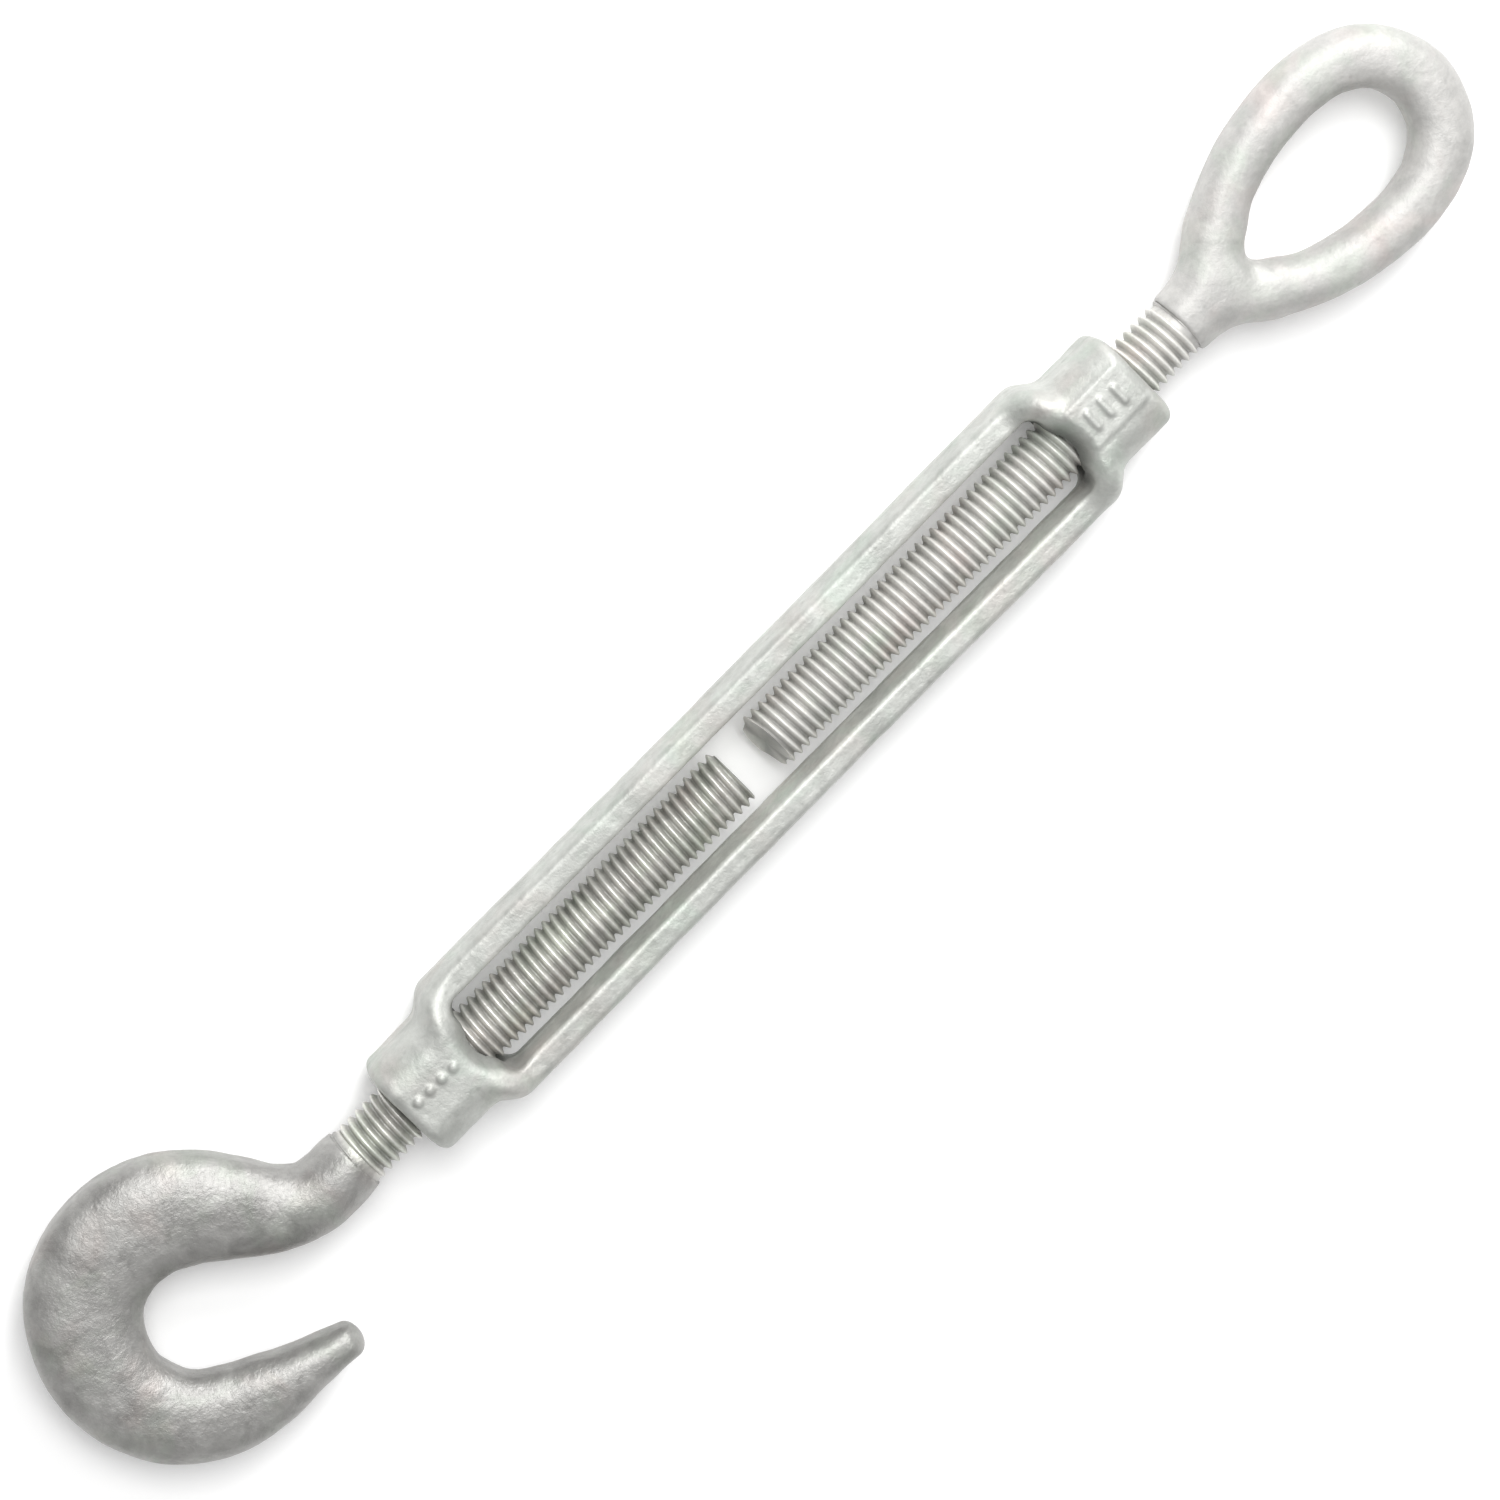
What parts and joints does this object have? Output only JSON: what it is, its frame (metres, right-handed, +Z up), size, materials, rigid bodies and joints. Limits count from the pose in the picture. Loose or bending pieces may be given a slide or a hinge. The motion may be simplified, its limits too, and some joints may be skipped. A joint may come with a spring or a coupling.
{
  "type": "rigging turnbuckle",
  "caption": "Hook-and-eye rigging turnbuckle: an open forged body with a hook bolt and an eye bolt screwed into its ends, galvanised steel.",
  "frame": {"origin": "on the thread axis at the middle of the open body, in the gap that takes a turning bar", "axes": "+X along the thread axis towards the eye bolt, +Y towards the side the hook's back bulges to, +Z up, square to the flat of the body, hook and eye as they lie"},
  "size_m": [0.356, 0.0588, 0.0211],
  "materials": {
    "body_zinc": "matt hot-dip galvanised, light warm grey",
    "eye_zinc": "matt hot-dip galvanised, pale grey",
    "hook_zinc": "matt hot-dip galvanised, mid grey"
  },
  "bodies": {
    "body": {"turnbuckle_body": "body_zinc"},
    "eye_carrier": {"eye_bolt_point": "eye_zinc"},
    "eye": {"eye_bolt": "eye_zinc"},
    "hook_carrier": {"hook_bolt_point": "hook_zinc"},
    "hook": {"hook_bolt": "hook_zinc"}
  },
  "joints": [
    {"name": "eye_travel", "type": "slide", "parent": "body", "child": "eye_carrier", "axis": [1, 0, 0], "range_m": [-0.00293, 0.07424]},
    {"name": "eye_turn", "type": "hinge", "parent": "eye_carrier", "child": "eye", "pos_m": [0, 0, 0], "axis": [1, 0, 0], "range_deg": [-540, 13680]},
    {"name": "hook_travel", "type": "slide", "parent": "body", "child": "hook_carrier", "axis": [-1, 0, 0], "range_m": [-0.00293, 0.06448]},
    {"name": "hook_turn", "type": "hinge", "parent": "hook_carrier", "child": "hook", "pos_m": [0, 0, 0], "axis": [1, 0, 0], "range_deg": [-540, 11880]}
  ],
  "couplings": [
    {"joint": "eye_travel", "follows": "eye_turn", "m_per_rad": 0.00031096},
    {"joint": "hook_travel", "follows": "hook_turn", "m_per_rad": 0.00031096}
  ]
}
